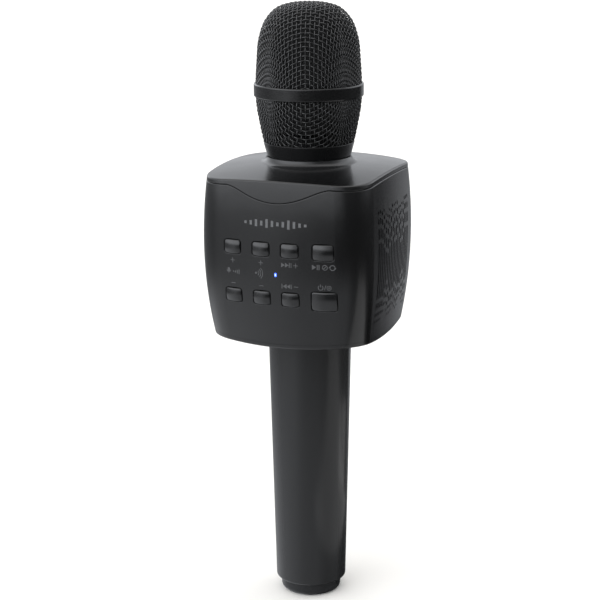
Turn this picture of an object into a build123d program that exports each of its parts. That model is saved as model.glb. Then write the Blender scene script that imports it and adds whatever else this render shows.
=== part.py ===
from build123d import *

import math
import os

os.makedirs("parts", exist_ok=True)

# A hand-held karaoke microphone: a woven grille head, a square speaker box with a control
# panel, and a tapered battery handle. Millimetres. The origin is the centre of the end
# cap's foot, +Z runs up the microphone's axis, and the control panel faces -Y.

# ------------------------------------------------------------------ driving dimensions

fine = 0.05  # gap between pieces that touch in use but belong to different bodies
running = 0.06  # radial clearance of a turning fit

# Speaker box
box_half_width = 42.2
box_half_depth = 45.5
side_bulge = 2.0  # how far each side wall bows out between its corners
front_bulge = 5.6
corner_radius = 16.6
waist_height = 178.8  # where the box is widest
wall = 2.2
deck_thickness = 1.8
floor_thickness = 1.6
crown_radius = 300.0  # deck and underside are shallow spheres
belly_radius = 200.0
deck_top = 214.5
underside_bottom = 129.4
rim_round = 0.9
section_heights = (120, 138, 158, waist_height, 200, 224)

# Seams between the three shells
lid_drop = 2.3  # the top cover's lip below the deck's rim
tray_rise = 1.8  # the bottom cover's lip above the lower rim
seam_gap = 0.1
seam_round = 0.4
wave_reach = 27.0
wave_bottom = 201.5
lip_thickness = 1.3  # of the inner lips that locate the shells
lip_gap = 0.15

# Neck and grille head
neck_radius = 17.5
neck_bore = 14.9
neck_top = 222.6
neck_floor = deck_top - 0.9  # ledge that the capsule's post stands on
passage_radius = 12.0
flare_top = 216.45
flare_radius = 20.0
flare_foot = 23.4
collar_bottom = 216.75
collar_top = 223.2
collar_sleeve_top = 228.0
band_radius = 25.5
band_inner = 23.7
band_bottom = 244.2
band_top = 250.3
mesh_thickness = 1.0
foam_gap = 1.35
foam_thickness = 2.9
head_top = 287.3

# Handle
handle_bottom = 6.4
handle_bottom_radius = 17.0
handle_top_radius = 19.95
handle_seat = 134.2  # underside of the handle's flange, inside the box
flange_radius = 26.0
flange_thickness = 2.5
flange_screw_ring = 23.0
cap_bore = 13.0
cap_bore_top = 17.5
handle_bore_bottom = 14.3
handle_bore_top = 17.0

# End cap and battery
cap_radius = 14.5
cap_height = 6.2
cap_spigot_top = 16.0
cap_cup_floor = 8.0
cap_cup_radius = 10.2
battery_radius = 9.2
battery_length = 65.0
contact_thickness = 2.0

# Case screws, and the posts that take them
post_x = 27.5
post_y = 26.5
post_radius = 3.2
post_bottom = 137.0
screw_radius = 1.3
screw_recess = 2.7
screw_head_radius = 2.4
screw_head_seat = 135.2
screw_head_height = 1.5
small_screw_radius = 0.9
pilot_radius = small_screw_radius + fine
boss_radius = 2.2

# Control panel: name, x, z, width, height
small_key = (8.2, 6.4)
upper_row = 180.5
lower_row = 157.8
keys = {
    "mic_volume_up_button": (-21.0, upper_row, *small_key),
    "echo_up_button": (-6.8, upper_row, *small_key),
    "next_button": (7.0, upper_row, *small_key),
    "play_button": (22.4, upper_row, 9.6, 7.2),
    "mic_volume_down_button": (-21.0, lower_row, *small_key),
    "echo_down_button": (-6.8, lower_row, *small_key),
    "previous_button": (7.0, lower_row, *small_key),
    "power_button": (22.6, lower_row, 11.6, 8.8),
}
key_gap = 0.18
key_proud = 1.1
key_corner = 1.3
key_flange = 0.6  # how far the retaining flange reaches past the opening
mouth_round = 0.3
key_round = 0.7
key_travel = 0.5
led_x = 0.3
led_z = 169.1
led_width = 1.1
led_height = 1.9
panel_front = -34.5  # component side of the control board
board_thickness = 1.6
panel_width = 53.6
panel_bottom = 147.6
panel_top = 190.0
panel_screw_x = 24.0
panel_screw_low = 150.0
panel_screw_high = 187.6
switch_size = 5.2
switch_height = 1.5
plunger_radius = 1.1

# Loudspeakers, one behind each side grille
speaker_z = 172.0
speaker_face = 37.2  # outer face of the frame, from the microphone's axis
speaker_plate = 50.0
speaker_plate_thickness = 1.8
speaker_screw = 21.5
cone_inner = 7.8
cone_outer = 19.5
surround_outer = 23.0
magnet_radius = 15.0
magnet_back = 13.5
magnet_front = 23.5
coil_radius = 7.5

# Perforations in each side wall
slot_width = 1.25
slot_pitch = 2.4
slot_columns = 19
crest = 181.6
foot = 155.0
crest_valleys = ((-10.3, 7.5, 7.5), (1.0, 5.0, 3.5), (10.5, 7.0, 5.5))
foot_peaks = ((-9.8, 7.0, 4.0), (2.7, 3.5, 3.5), (13.6, 7.5, 4.5))
dash_lengths = (5.0, 3.0, 1.9, 1.3)
dash_gap = 1.7
dash_reach = 15.0

# Main board, with its sockets through the rear wall
board_top = 140.6
board_half_width = 23.5
board_front = -22.0
board_rear = 35.6
board_screw_x = 21.0
board_screw_y = 19.0
socket_face = 42.2
usb_x = -16.0
usb_width = 8.9
usb_depth = 3.2
usb_length = 9.0
usb_height = board_top + usb_depth / 2
card_x = 16.0
card_width = 12.0
card_depth = 1.9
card_height = board_top + card_depth / 2
jack_bore = 1.8
jack_barrel = 2.9
jack_height = board_top + 2.9


# ------------------------------------------------------------------ working planes


def front_plane(y):
    """Sketch x and z as seen from the front; extrude forwards, towards -Y."""
    return Plane(origin=(0, y, 0), x_dir=(1, 0, 0), z_dir=(0, -1, 0))


def rear_plane(y):
    """Sketch -x and z as seen from behind; extrude backwards, towards +Y."""
    return Plane(origin=(0, y, 0), x_dir=(-1, 0, 0), z_dir=(0, 1, 0))


def side_plane(side, distance):
    """Sketch y and z on a plane across the X axis; extrude outwards."""
    return Plane(origin=(side * distance, 0, 0), x_dir=(0, side, 0), z_dir=(side, 0, 0))


# ------------------------------------------------------------------ the box's form


def lean(height):
    """How far the box's side walls have drawn in at a height."""
    if height > waist_height:
        return 1.67 * ((height - waist_height) / 33) ** 2
    return 3.68 * ((waist_height - height) / 45) ** 2


def deck_height(radius, inset=0.0):
    centre = deck_top - crown_radius
    return centre + math.sqrt((crown_radius - inset) ** 2 - radius**2)


def underside_height(radius, inset=0.0):
    centre = underside_bottom + belly_radius
    return centre - math.sqrt((belly_radius - inset) ** 2 - radius**2)


def front_wall(x, z, inset=0.0):
    """The y of the front wall's surface at a place on the panel."""
    front = box_half_depth - 1.2 * lean(z) - inset
    corner_x = box_half_width - lean(z) - side_bulge - inset
    arc = (corner_x**2 + front_bulge**2) / (2 * front_bulge)
    return -front + arc - math.sqrt(arc**2 - x**2)


def box_form(inset, deck_skin, floor_skin):
    """The box's form drawn in by inset at the walls and by a skin at deck and underside."""
    reach = 70
    with BuildPart() as form:
        for height in section_heights:
            side = box_half_width - lean(height) - inset
            front = box_half_depth - 1.2 * lean(height) - inset
            corner_x = side - side_bulge
            corner_y = front - front_bulge
            with BuildSketch(Plane.XY.offset(height)) as section:
                with BuildLine():
                    ThreePointArc((corner_x, -corner_y), (side, 0), (corner_x, corner_y))
                    ThreePointArc((corner_x, corner_y), (0, front), (-corner_x, corner_y))
                    ThreePointArc((-corner_x, corner_y), (-side, 0), (-corner_x, -corner_y))
                    ThreePointArc((-corner_x, -corner_y), (0, -front), (corner_x, -corner_y))
                make_face()
                fillet(section.vertices(), corner_radius - inset)
        loft()
        with BuildSketch(Plane.XZ):
            with BuildLine():
                ThreePointArc(
                    (0, deck_height(0, deck_skin)),
                    (reach / 2, deck_height(reach / 2, deck_skin)),
                    (reach, deck_height(reach, deck_skin)),
                )
                Line((reach, deck_height(reach, deck_skin)), (reach, underside_height(reach, floor_skin)))
                ThreePointArc(
                    (reach, underside_height(reach, floor_skin)),
                    (reach / 2, underside_height(reach / 2, floor_skin)),
                    (0, underside_height(0, floor_skin)),
                )
                Line((0, underside_height(0, floor_skin)), (0, deck_height(0, deck_skin)))
            make_face()
        revolve(axis=Axis.Z, mode=Mode.INTERSECT)
    return form.part


def rounded_rims(form):
    """The outer form with its upper and lower rims rounded."""
    deck = form.faces().sort_by(Axis.Z)[-1]
    underside = form.faces().sort_by(Axis.Z)[0]
    rims = [e for face in (deck, underside) for e in face.outer_wire().edges()]
    return form.fillet(rim_round, rims)


def lid_region(drop):
    """Everything above the top cover's seam, lowered by drop."""
    reach = 75
    top = 235
    with BuildPart() as region:
        with BuildSketch(Plane.XZ):
            with BuildLine():
                ThreePointArc(
                    (0, deck_height(0) - drop),
                    (reach / 2, deck_height(reach / 2) - drop),
                    (reach, deck_height(reach) - drop),
                )
                Polyline(
                    (reach, deck_height(reach) - drop),
                    (reach, top),
                    (0, top),
                    (0, deck_height(0) - drop),
                )
            make_face()
        revolve(axis=Axis.Z)
        fall = lid_drop - drop
        crest_z = 208.5 + fall
        with BuildSketch(Plane.XZ.offset(30)):
            with BuildLine():
                Spline(
                    (-wave_reach, crest_z),
                    (-14.6, 204.8 + fall),
                    (0, wave_bottom + fall),
                    (14.6, 204.8 + fall),
                    (wave_reach, crest_z),
                    tangents=((1, 0), (1, 0)),
                )
                Polyline(
                    (wave_reach, crest_z),
                    (wave_reach, 214),
                    (-wave_reach, 214),
                    (-wave_reach, crest_z),
                )
            make_face()
        extrude(amount=30)
    return region.part


def tray_region(rise):
    """Everything below the bottom cover's seam, raised by rise."""
    reach = 75
    bottom = 110
    with BuildPart() as region:
        with BuildSketch(Plane.XZ):
            with BuildLine():
                ThreePointArc(
                    (0, underside_height(0) + rise),
                    (reach / 2, underside_height(reach / 2) + rise),
                    (reach, underside_height(reach) + rise),
                )
                Polyline(
                    (reach, underside_height(reach) + rise),
                    (reach, bottom),
                    (0, bottom),
                    (0, underside_height(0) + rise),
                )
            make_face()
        revolve(axis=Axis.Z)
    return region.part


def slot_runs(y):
    """The slots of one column of perforations, as pairs of lower and upper ends."""
    top = crest - sum(d * max(0, 1 - abs(y - c) / w) for c, d, w in crest_valleys)
    low = foot + sum(d * max(0, 1 - abs(y - c) / w) for c, d, w in foot_peaks)
    runs = [(low, top)]
    for length in dash_lengths:
        start = runs[-1][1] + dash_gap
        if start + length < crest + dash_reach:
            runs.append((start, start + length))
    start = low
    for length in dash_lengths[1:]:
        start = start - dash_gap - length
        if start > foot - dash_reach:
            runs.append((start, start + length))
    return runs


outer_form = rounded_rims(box_form(0, 0, 0))
inner_form = box_form(wall, deck_thickness, floor_thickness)
lip_outer = box_form(wall + lip_gap, deck_thickness - 0.1, floor_thickness - 0.1)
lip_inner = box_form(wall + lip_gap + lip_thickness, deck_thickness - 0.6, floor_thickness - 0.6)


def seam_edges(form):
    """The outer edges of a shell along the upper seam."""
    chosen = []
    for edge in form.edges():
        middle = edge @ 0.5
        radius = math.hypot(middle.X, middle.Y)
        drop = deck_height(radius) - middle.Z
        inwards = Vector(-middle.X, -middle.Y, 0).normalized()
        inside = inner_form.is_inside(middle + inwards * 0.6 - Vector(0, 0, 0.3))
        if lid_drop - 0.5 < drop < 12 and abs((edge % 0.5).Z) < 0.8 and not inside:
            chosen.append(edge)
    return chosen


def lip_ring(bottom, top):
    """A ring just inside the walls, between two heights."""
    with BuildPart() as ring:
        with BuildSketch(Plane.XY.offset(bottom)):
            Rectangle(100, 100)
        extrude(amount=top - bottom)
        add(lip_outer, mode=Mode.INTERSECT)
        add(lip_inner, mode=Mode.SUBTRACT)
    return ring.part


# ------------------------------------------------------------------ speaker box shells

lid_lip = lip_ring(200.0, 216.0)
tray_lip = lip_ring(130.0, 140.5)

with BuildPart() as top_cover:
    add(outer_form)
    add(lid_region(lid_drop), mode=Mode.INTERSECT)
    add(inner_form, mode=Mode.SUBTRACT)
    fillet(seam_edges(top_cover), seam_round)
    add(lid_lip)
    # posts that the case screws pull on
    with BuildSketch(Plane.XY.offset(post_bottom)):
        with GridLocations(2 * post_x, 2 * post_y, 2, 2):
            Circle(post_radius)
    extrude(amount=deck_height(math.hypot(post_x, post_y)) - 1.0 - post_bottom)
    # threaded neck with a small flare where it meets the deck
    with BuildSketch(Plane.XZ):
        with BuildLine():
            Polyline(
                (neck_bore, deck_top - 1.6),
                (neck_bore, neck_top),
                (neck_radius - 0.5, neck_top),
                (neck_radius, neck_top - 0.5),
                (neck_radius, flare_top),
                (flare_radius, flare_top),
            )
            ThreePointArc(
                (flare_radius, flare_top),
                (flare_radius + 0.9, deck_top + 0.15),
                (flare_foot, deck_height(flare_foot) - 0.02),
            )
            Polyline(
                (flare_foot, deck_height(flare_foot) - 0.02),
                (flare_foot, deck_top - 2.2),
                (neck_bore, deck_top - 1.6),
            )
        make_face()
    revolve(axis=Axis.Z)
    # ledge and passage for the capsule's post
    with BuildSketch(Plane.XY.offset(neck_floor)):
        Circle(neck_bore)
    extrude(amount=5, mode=Mode.SUBTRACT)
    with BuildSketch(Plane.XY.offset(205)):
        Circle(passage_radius)
    extrude(amount=30, mode=Mode.SUBTRACT)
    # pilot holes in the posts
    with BuildSketch(Plane.XY.offset(post_bottom)):
        with GridLocations(2 * post_x, 2 * post_y, 2, 2):
            Circle(screw_radius + fine)
    extrude(amount=14, mode=Mode.SUBTRACT)


def on_key_mouth(edge):
    """Whether an edge runs round a key's opening in the outer surface."""
    middle = edge.center()
    if abs(middle.Y - front_wall(middle.X, middle.Z)) > 0.25:
        return False
    margin = key_gap + 0.1
    return any(
        abs(middle.X - x) < width / 2 + margin and abs(middle.Z - z) < height / 2 + margin
        for x, z, width, height in keys.values()
    )


with BuildPart() as housing:
    add(outer_form)
    add(lid_region(lid_drop + seam_gap), mode=Mode.SUBTRACT)
    add(tray_region(tray_rise + seam_gap), mode=Mode.SUBTRACT)
    add(inner_form, mode=Mode.SUBTRACT)
    fillet(seam_edges(housing), seam_round)
    # openings for the keys, with a softened mouth
    with BuildSketch(front_plane(-30)):
        for x, z, width, height in keys.values():
            with Locations((x, z)):
                RectangleRounded(width + 2 * key_gap, height + 2 * key_gap, key_corner + key_gap)
    extrude(amount=30, mode=Mode.SUBTRACT)
    fillet([edge for edge in housing.edges() if on_key_mouth(edge)], mouth_round)
    # opening for the status light
    with BuildSketch(front_plane(-30)):
        with Locations((led_x, led_z)):
            SlotOverall(led_height + 2 * fine, led_width + 2 * fine, rotation=90)
    extrude(amount=30, mode=Mode.SUBTRACT)
    # perforations in front of each loudspeaker
    for side in (-1, 1):
        with BuildSketch(side_plane(side, 36)):
            for column in range(slot_columns):
                y = (column - (slot_columns - 1) / 2) * slot_pitch
                for low, high in slot_runs(y):
                    with Locations((side * y, (low + high) / 2)):
                        SlotOverall(high - low, slot_width, rotation=90)
        extrude(amount=10, mode=Mode.SUBTRACT)
    # socket openings in the rear wall
    with BuildSketch(rear_plane(36)):
        with Locations((-usb_x, usb_height)):
            SlotOverall(usb_width + 0.6, usb_depth + 0.6)
        with Locations((-card_x, card_height)):
            RectangleRounded(card_width + 0.8, card_depth + 0.8, 0.6)
        with Locations((0, jack_height)):
            Circle(jack_barrel + 0.3)
    extrude(amount=12, mode=Mode.SUBTRACT)
    # bosses behind the side walls for the loudspeaker screws
    for side in (-1, 1):
        for radius, length, mode in ((boss_radius, 2.6, Mode.ADD), (pilot_radius, 1.9, Mode.SUBTRACT)):
            with BuildSketch(side_plane(side, speaker_face)):
                with Locations((0, speaker_z)):
                    with GridLocations(2 * speaker_screw, 2 * speaker_screw, 2, 2):
                        Circle(radius)
            extrude(amount=length, mode=mode)
    # bosses behind the front wall for the control board's screws
    for x in (-panel_screw_x, panel_screw_x):
        for z in (panel_screw_low, panel_screw_high):
            with BuildSketch(front_plane(panel_front)):
                with Locations((x, z)):
                    Circle(boss_radius)
            extrude(amount=panel_front - front_wall(x, z, wall) + 0.8)
            with BuildSketch(front_plane(panel_front)):
                with Locations((x, z)):
                    Circle(pilot_radius)
            extrude(amount=4.5, mode=Mode.SUBTRACT)

with BuildPart() as bottom_cover:
    add(outer_form)
    add(tray_region(tray_rise), mode=Mode.INTERSECT)
    add(inner_form, mode=Mode.SUBTRACT)
    add(tray_lip)
    # seat for the handle's flange, bosses under the posts and stands for the main board
    with BuildSketch(Plane.XY.offset(132.0)):
        Circle(flange_radius + 1)
    extrude(amount=handle_seat - 132.0)
    with BuildSketch(Plane.XY.offset(134.5)):
        with GridLocations(2 * post_x, 2 * post_y, 2, 2):
            Circle(post_radius)
    extrude(amount=post_bottom - 0.1 - 134.5)
    with BuildSketch(Plane.XY.offset(132.6)):
        with GridLocations(2 * board_screw_x, 2 * board_screw_y, 2, 2):
            Circle(2.1)
    extrude(amount=board_top - board_thickness - 132.6)
    # handle hole, countersunk case screw holes, pilot holes
    with BuildSketch(Plane.XY.offset(120)):
        Circle(handle_top_radius + 0.1)
    extrude(amount=20, mode=Mode.SUBTRACT)
    with BuildSketch(Plane.XY.offset(125)):
        with GridLocations(2 * post_x, 2 * post_y, 2, 2):
            Circle(screw_radius + 0.3)
    extrude(amount=14, mode=Mode.SUBTRACT)
    with BuildSketch(Plane.XY.offset(125)):
        with GridLocations(2 * post_x, 2 * post_y, 2, 2):
            Circle(screw_recess)
    extrude(amount=screw_head_seat - 125, mode=Mode.SUBTRACT)
    with BuildSketch(Plane.XY.offset(131.7)):
        with PolarLocations(flange_screw_ring, 4, start_angle=45):
            Circle(1.1 + fine)
    extrude(amount=5, mode=Mode.SUBTRACT)
    with BuildSketch(Plane.XY.offset(134.0)):
        with GridLocations(2 * board_screw_x, 2 * board_screw_y, 2, 2):
            Circle(pilot_radius)
    extrude(amount=10, mode=Mode.SUBTRACT)


def screws(places, head_radius, head_height, shank_radius, shank_length):
    """Pan-head screws with a cross recess: each place is a plane at the seat, facing out of it."""
    with BuildPart() as group:
        for place in places:
            with BuildSketch(place):
                Circle(head_radius)
            extrude(amount=head_height)
            with BuildSketch(place):
                Circle(shank_radius)
            extrude(amount=-shank_length)
            with BuildSketch(place.offset(head_height * 0.4)):
                Rectangle(head_radius * 1.2, head_radius * 0.28)
                Rectangle(head_radius * 0.28, head_radius * 1.2)
            extrude(amount=head_height, mode=Mode.SUBTRACT)
    return group.part


def corners(x, y):
    return [(sx * x, sy * y) for sx in (-1, 1) for sy in (-1, 1)]


case_screws = screws(
    [Plane(origin=(x, y, screw_head_seat), z_dir=(0, 0, -1)) for x, y in corners(post_x, post_y)],
    screw_head_radius, screw_head_height, screw_radius, 11,
)

# ------------------------------------------------------------------ control panel

switch_front = panel_front - switch_height
plunger_depth = key_travel + 0.1


def key_piece(x, z, width, height):
    """A push key: a crowned cap, a retaining flange behind the wall and a plunger."""
    surface = front_wall(x, z)
    slope_x = front_wall(x + 0.5, z) - front_wall(x - 0.5, z)
    slope_z = front_wall(x, z + 0.5) - front_wall(x, z - 0.5)
    outward = Vector(slope_x, -1, slope_z).normalized()
    crown = (width**2 + height**2) / 8 / (key_proud + 0.2)
    crown_centre = Vector(x, surface, z) - outward * (crown - key_proud)
    reach_x = width / 2 + key_gap + key_flange
    reach_z = height / 2 + key_gap + key_flange
    seat = 0.15 + max(
        front_wall(x + sx * reach_x, z + sz * reach_z, wall) for sx in (-1, 1) for sz in (-1, 1)
    )
    with BuildPart() as key:
        with BuildSketch(front_plane(seat)):
            with Locations((x, z)):
                RectangleRounded(width, height, key_corner)
        extrude(amount=seat - surface + 3)
        with Locations(crown_centre):
            Sphere(crown, mode=Mode.INTERSECT)
        fillet(key.faces().sort_by(Axis.Y)[0].edges(), key_round)
        with BuildSketch(front_plane(seat)):
            with Locations((x, z)):
                RectangleRounded(2 * reach_x, 2 * reach_z, key_corner)
        extrude(amount=-1.0)
        with BuildSketch(front_plane(seat + 0.5)):
            with Locations((x, z)):
                Circle(plunger_radius)
        extrude(amount=-(switch_front + fine - seat - 0.5))
    return key.part


key_parts = {name: key_piece(*place) for name, place in keys.items()}

with BuildPart() as tact_switches:
    for x, z, width, height in keys.values():
        with BuildSketch(front_plane(panel_front)):
            with Locations((x, z)):
                Rectangle(switch_size, switch_size)
        extrude(amount=switch_height)
        with BuildSketch(front_plane(switch_front)):
            with Locations((x, z)):
                Circle(plunger_radius + 0.3)
        extrude(amount=-plunger_depth, mode=Mode.SUBTRACT)

with BuildPart() as control_board:
    with BuildSketch(front_plane(panel_front)):
        with Locations((0, (panel_bottom + panel_top) / 2)):
            Rectangle(panel_width, panel_top - panel_bottom)
        for x in (-panel_screw_x, panel_screw_x):
            with Locations((x, panel_screw_low), (x, panel_screw_high)):
                Circle(1.1, mode=Mode.SUBTRACT)
    extrude(amount=-board_thickness)
    # key-scan chip on the back
    with BuildSketch(front_plane(panel_front + board_thickness)):
        with Locations((0, 172)):
            Rectangle(6, 6)
    extrude(amount=-1.0)

with BuildPart() as status_led:
    with BuildSketch(front_plane(panel_front)):
        with Locations((led_x, led_z)):
            Rectangle(1.6, 1.6)
    extrude(amount=0.8)

with BuildPart() as led_light_pipe:
    with BuildSketch(front_plane(panel_front - 1.0)):
        with Locations((led_x, led_z)):
            SlotOverall(led_height, led_width, rotation=90)
    extrude(amount=panel_front - 1.0 - front_wall(led_x, led_z) + 0.15)
    fillet(led_light_pipe.faces().sort_by(Axis.Y)[0].edges(), 0.15)

# ------------------------------------------------------------------ loudspeakers


def speaker_profile(side):
    """Sketch distance from the microphone's axis and radius about the speaker's own axis."""
    return Plane(origin=(0, 0, speaker_z), x_dir=(side, 0, 0), z_dir=(0, -1, 0))


def dome_height(rim, rise, radius):
    """Height above its rim, at a radius, of a spherical dome with a rise at its centre."""
    sphere = (rim**2 + rise**2) / (2 * rise)
    return math.sqrt(sphere**2 - radius**2) - (sphere - rise)


speaker_parts = {}
for side, hand in ((-1, "left"), (1, "right")):
    speaker_axis = Axis((0, 0, speaker_z), (side, 0, 0))
    plate_back = speaker_face - speaker_plate_thickness

    with BuildPart() as speaker_frame:
        with BuildSketch(side_plane(side, plate_back)):
            with Locations((0, speaker_z)):
                RectangleRounded(speaker_plate, speaker_plate, 5)
                Circle(surround_outer + 1, mode=Mode.SUBTRACT)
                with GridLocations(2 * speaker_screw, 2 * speaker_screw, 2, 2):
                    Circle(1.1, mode=Mode.SUBTRACT)
        extrude(amount=speaker_plate_thickness)
        with BuildSketch(speaker_profile(side)):
            Polygon(
                (plate_back, surround_outer - 0.2),
                (magnet_front + 1.6, magnet_radius + 0.6),
                (magnet_front + 1.6, coil_radius + 1.5),
                (magnet_front, coil_radius + 1.5),
                (magnet_front, magnet_radius + 2.0),
                (plate_back - 0.6, surround_outer + 1.6),
                (plate_back + 0.4, surround_outer + 1.6),
                (plate_back + 0.4, surround_outer + 0.9),
                (plate_back, surround_outer + 0.9),
                align=None,
            )
        revolve(axis=speaker_axis)

    with BuildPart() as speaker_magnet:
        with BuildSketch(speaker_profile(side)):
            Polygon(
                (magnet_back, 0),
                (magnet_back, magnet_radius),
                (magnet_front, magnet_radius),
                (magnet_front, coil_radius + 0.8),
                (magnet_back + 2.5, coil_radius + 0.8),
                (magnet_back + 2.5, coil_radius - 0.8),
                (magnet_front, coil_radius - 0.8),
                (magnet_front, 0),
                align=None,
            )
        revolve(axis=speaker_axis)

    with BuildPart() as speaker_cone:
        with BuildSketch(speaker_profile(side)):
            Polygon(
                (magnet_front + 3.7, cone_inner),
                (plate_back - 0.05, cone_outer),
                (plate_back - 0.05, cone_outer + 1.1),
                (plate_back - 0.55, cone_outer + 1.1),
                (plate_back - 0.55, cone_outer + 0.4),
                (magnet_front + 2.9, cone_inner),
                align=None,
            )
        revolve(axis=speaker_axis)

    with BuildPart() as speaker_surround:
        with BuildSketch(speaker_profile(side)):
            with BuildLine():
                Polyline(
                    (plate_back, cone_outer + 0.1),
                    (plate_back + 0.4, cone_outer + 0.1),
                    (plate_back + 0.4, cone_outer + 0.9),
                )
                ThreePointArc(
                    (plate_back + 0.4, cone_outer + 0.9),
                    (plate_back + 1.4, (cone_outer + surround_outer + 0.9) / 2),
                    (plate_back + 0.4, surround_outer),
                )
                Polyline(
                    (plate_back + 0.4, surround_outer),
                    (plate_back + 0.4, surround_outer + 0.8),
                    (plate_back, surround_outer + 0.8),
                    (plate_back, surround_outer - 0.2),
                )
                ThreePointArc(
                    (plate_back, surround_outer - 0.2),
                    (plate_back + 1.0, (cone_outer + surround_outer + 0.9) / 2),
                    (plate_back, cone_outer + 1.1),
                )
                Line((plate_back, cone_outer + 1.1), (plate_back, cone_outer + 0.1))
            make_face()
        revolve(axis=speaker_axis)

    with BuildPart() as speaker_dust_cap:
        cap_rim = magnet_front + 4.6
        with BuildSketch(speaker_profile(side)):
            with BuildLine():
                ThreePointArc(
                    (cap_rim, 8.4), (cap_rim + dome_height(8.4, 2.6, 4), 4), (cap_rim + 2.6, 0)
                )
                Line((cap_rim + 2.6, 0), (cap_rim + 2.2, 0))
                ThreePointArc(
                    (cap_rim + 2.2, 0), (cap_rim + dome_height(7.9, 2.2, 4), 4), (cap_rim, 7.9)
                )
                Line((cap_rim, 7.9), (cap_rim, 8.4))
            make_face()
        revolve(axis=speaker_axis)

    with BuildPart() as speaker_voice_coil:
        with BuildSketch(speaker_profile(side)):
            with Locations((magnet_front - 0.5, coil_radius)):
                Rectangle(6.8, 0.7)
        revolve(axis=speaker_axis)

    speaker_parts[f"{hand}_speaker_frame"] = speaker_frame.part
    speaker_parts[f"{hand}_speaker_magnet"] = speaker_magnet.part
    speaker_parts[f"{hand}_speaker_cone"] = speaker_cone.part
    speaker_parts[f"{hand}_speaker_surround"] = speaker_surround.part
    speaker_parts[f"{hand}_speaker_dust_cap"] = speaker_dust_cap.part
    speaker_parts[f"{hand}_speaker_voice_coil"] = speaker_voice_coil.part

with BuildPart() as speaker_cloths:
    for side in (-1, 1):
        with BuildSketch(side_plane(side, speaker_face + fine)):
            with Locations((0, speaker_z)):
                Circle(surround_outer + 2.4)
        extrude(amount=0.3)

speaker_screws = screws(
    [
        Plane(
            origin=(side * (speaker_face - speaker_plate_thickness), y, speaker_z + z),
            z_dir=(-side, 0, 0),
        )
        for side in (-1, 1)
        for y, z in corners(speaker_screw, speaker_screw)
    ],
    1.8, 1.2, small_screw_radius, 3.5,
)

# ------------------------------------------------------------------ main board and sockets

with BuildPart() as main_board:
    with BuildSketch(Plane.XY.offset(board_top - board_thickness)):
        with Locations((0, (board_front + board_rear) / 2)):
            Rectangle(2 * board_half_width, board_rear - board_front)
        Circle(10, mode=Mode.SUBTRACT)
        with GridLocations(2 * board_screw_x, 2 * board_screw_y, 2, 2):
            Circle(1.1, mode=Mode.SUBTRACT)
    extrude(amount=board_thickness)
    # amplifier, player and charger chips, coils and capacitors
    for x, y, length, breadth, height in (
        (0, 19, 7, 7, 1.0),
        (-12, 15, 5, 5, 1.0),
        (13, 14, 6, 5, 1.0),
        (-16, -4, 5, 5, 2.6),
        (16, -4, 5, 5, 2.6),
        (10, -16, 4, 3, 1.6),
    ):
        with BuildSketch(Plane.XY.offset(board_top)):
            with Locations((x, y)):
                Rectangle(length, breadth)
        extrude(amount=height)
    with BuildSketch(Plane.XY.offset(board_top)):
        with Locations((-16, 8), (17, 6), (-9, -17)):
            Circle(2)
    extrude(amount=4.2)

with BuildPart() as usb_port:
    with BuildSketch(rear_plane(socket_face - usb_length)):
        with Locations((-usb_x, usb_height)):
            SlotOverall(usb_width, usb_depth)
    extrude(amount=usb_length)
    with BuildSketch(rear_plane(socket_face - 6.5)):
        with Locations((-usb_x, usb_height)):
            SlotOverall(usb_width - 0.6, usb_depth - 0.6)
    extrude(amount=6.5, mode=Mode.SUBTRACT)
    with BuildSketch(rear_plane(socket_face - 7.0)):
        with Locations((-usb_x, usb_height)):
            Rectangle(6.7, 0.7)
    extrude(amount=5.6)

with BuildPart() as audio_jack:
    with BuildSketch(rear_plane(socket_face - 14.2)):
        with Locations((0, board_top + 2.7)):
            Rectangle(6.2, 5.4)
    extrude(amount=12.0)
    with BuildSketch(rear_plane(socket_face - 2.4)):
        with Locations((0, jack_height)):
            Circle(jack_barrel)
    extrude(amount=2.4)
    with BuildSketch(rear_plane(socket_face - 13.5)):
        with Locations((0, jack_height)):
            Circle(jack_bore)
    extrude(amount=13.5, mode=Mode.SUBTRACT)

with BuildPart() as card_slot:
    with BuildSketch(rear_plane(socket_face - 13)):
        with Locations((-card_x, card_height)):
            Rectangle(card_width, card_depth)
    extrude(amount=12.7)
    with BuildSketch(rear_plane(socket_face - 11)):
        with Locations((-card_x, card_height)):
            Rectangle(11.2, 0.9)
    extrude(amount=11, mode=Mode.SUBTRACT)

board_screws = screws(
    [Plane(origin=(x, y, board_top), z_dir=(0, 0, 1)) for x, y in corners(board_screw_x, board_screw_y)]
    + [
        Plane(origin=(x, panel_front + board_thickness, z), z_dir=(0, 1, 0))
        for x in (-panel_screw_x, panel_screw_x)
        for z in (panel_screw_low, panel_screw_high)
    ],
    1.8, 1.2, small_screw_radius, 5.0,
)

# ------------------------------------------------------------------ handle and battery

with BuildPart() as handle_tube:
    with BuildSketch(Plane.XZ):
        Polygon(
            (cap_bore, handle_bottom),
            (handle_bottom_radius, handle_bottom),
            (handle_top_radius, handle_seat),
            (flange_radius, handle_seat),
            (flange_radius, handle_seat + flange_thickness),
            (handle_bore_top, handle_seat + flange_thickness),
            (handle_bore_bottom, cap_bore_top),
            (cap_bore, cap_bore_top),
            align=None,
        )
    revolve(axis=Axis.Z)
    foot = handle_tube.edges().filter_by(GeomType.CIRCLE).group_by(Axis.Z)[0].sort_by(SortBy.RADIUS)[-1]
    fillet(foot, 1.2)
    with BuildSketch(Plane.XY.offset(handle_seat)):
        with PolarLocations(flange_screw_ring, 4, start_angle=45):
            Circle(1.3)
    extrude(amount=flange_thickness, mode=Mode.SUBTRACT)

flange_screws = screws(
    [
        Plane(origin=(x, y, handle_seat + flange_thickness), z_dir=(0, 0, 1))
        for x, y in corners(flange_screw_ring / math.sqrt(2), flange_screw_ring / math.sqrt(2))
    ],
    2.1, 1.5, 1.1, 4.6,
)

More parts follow.
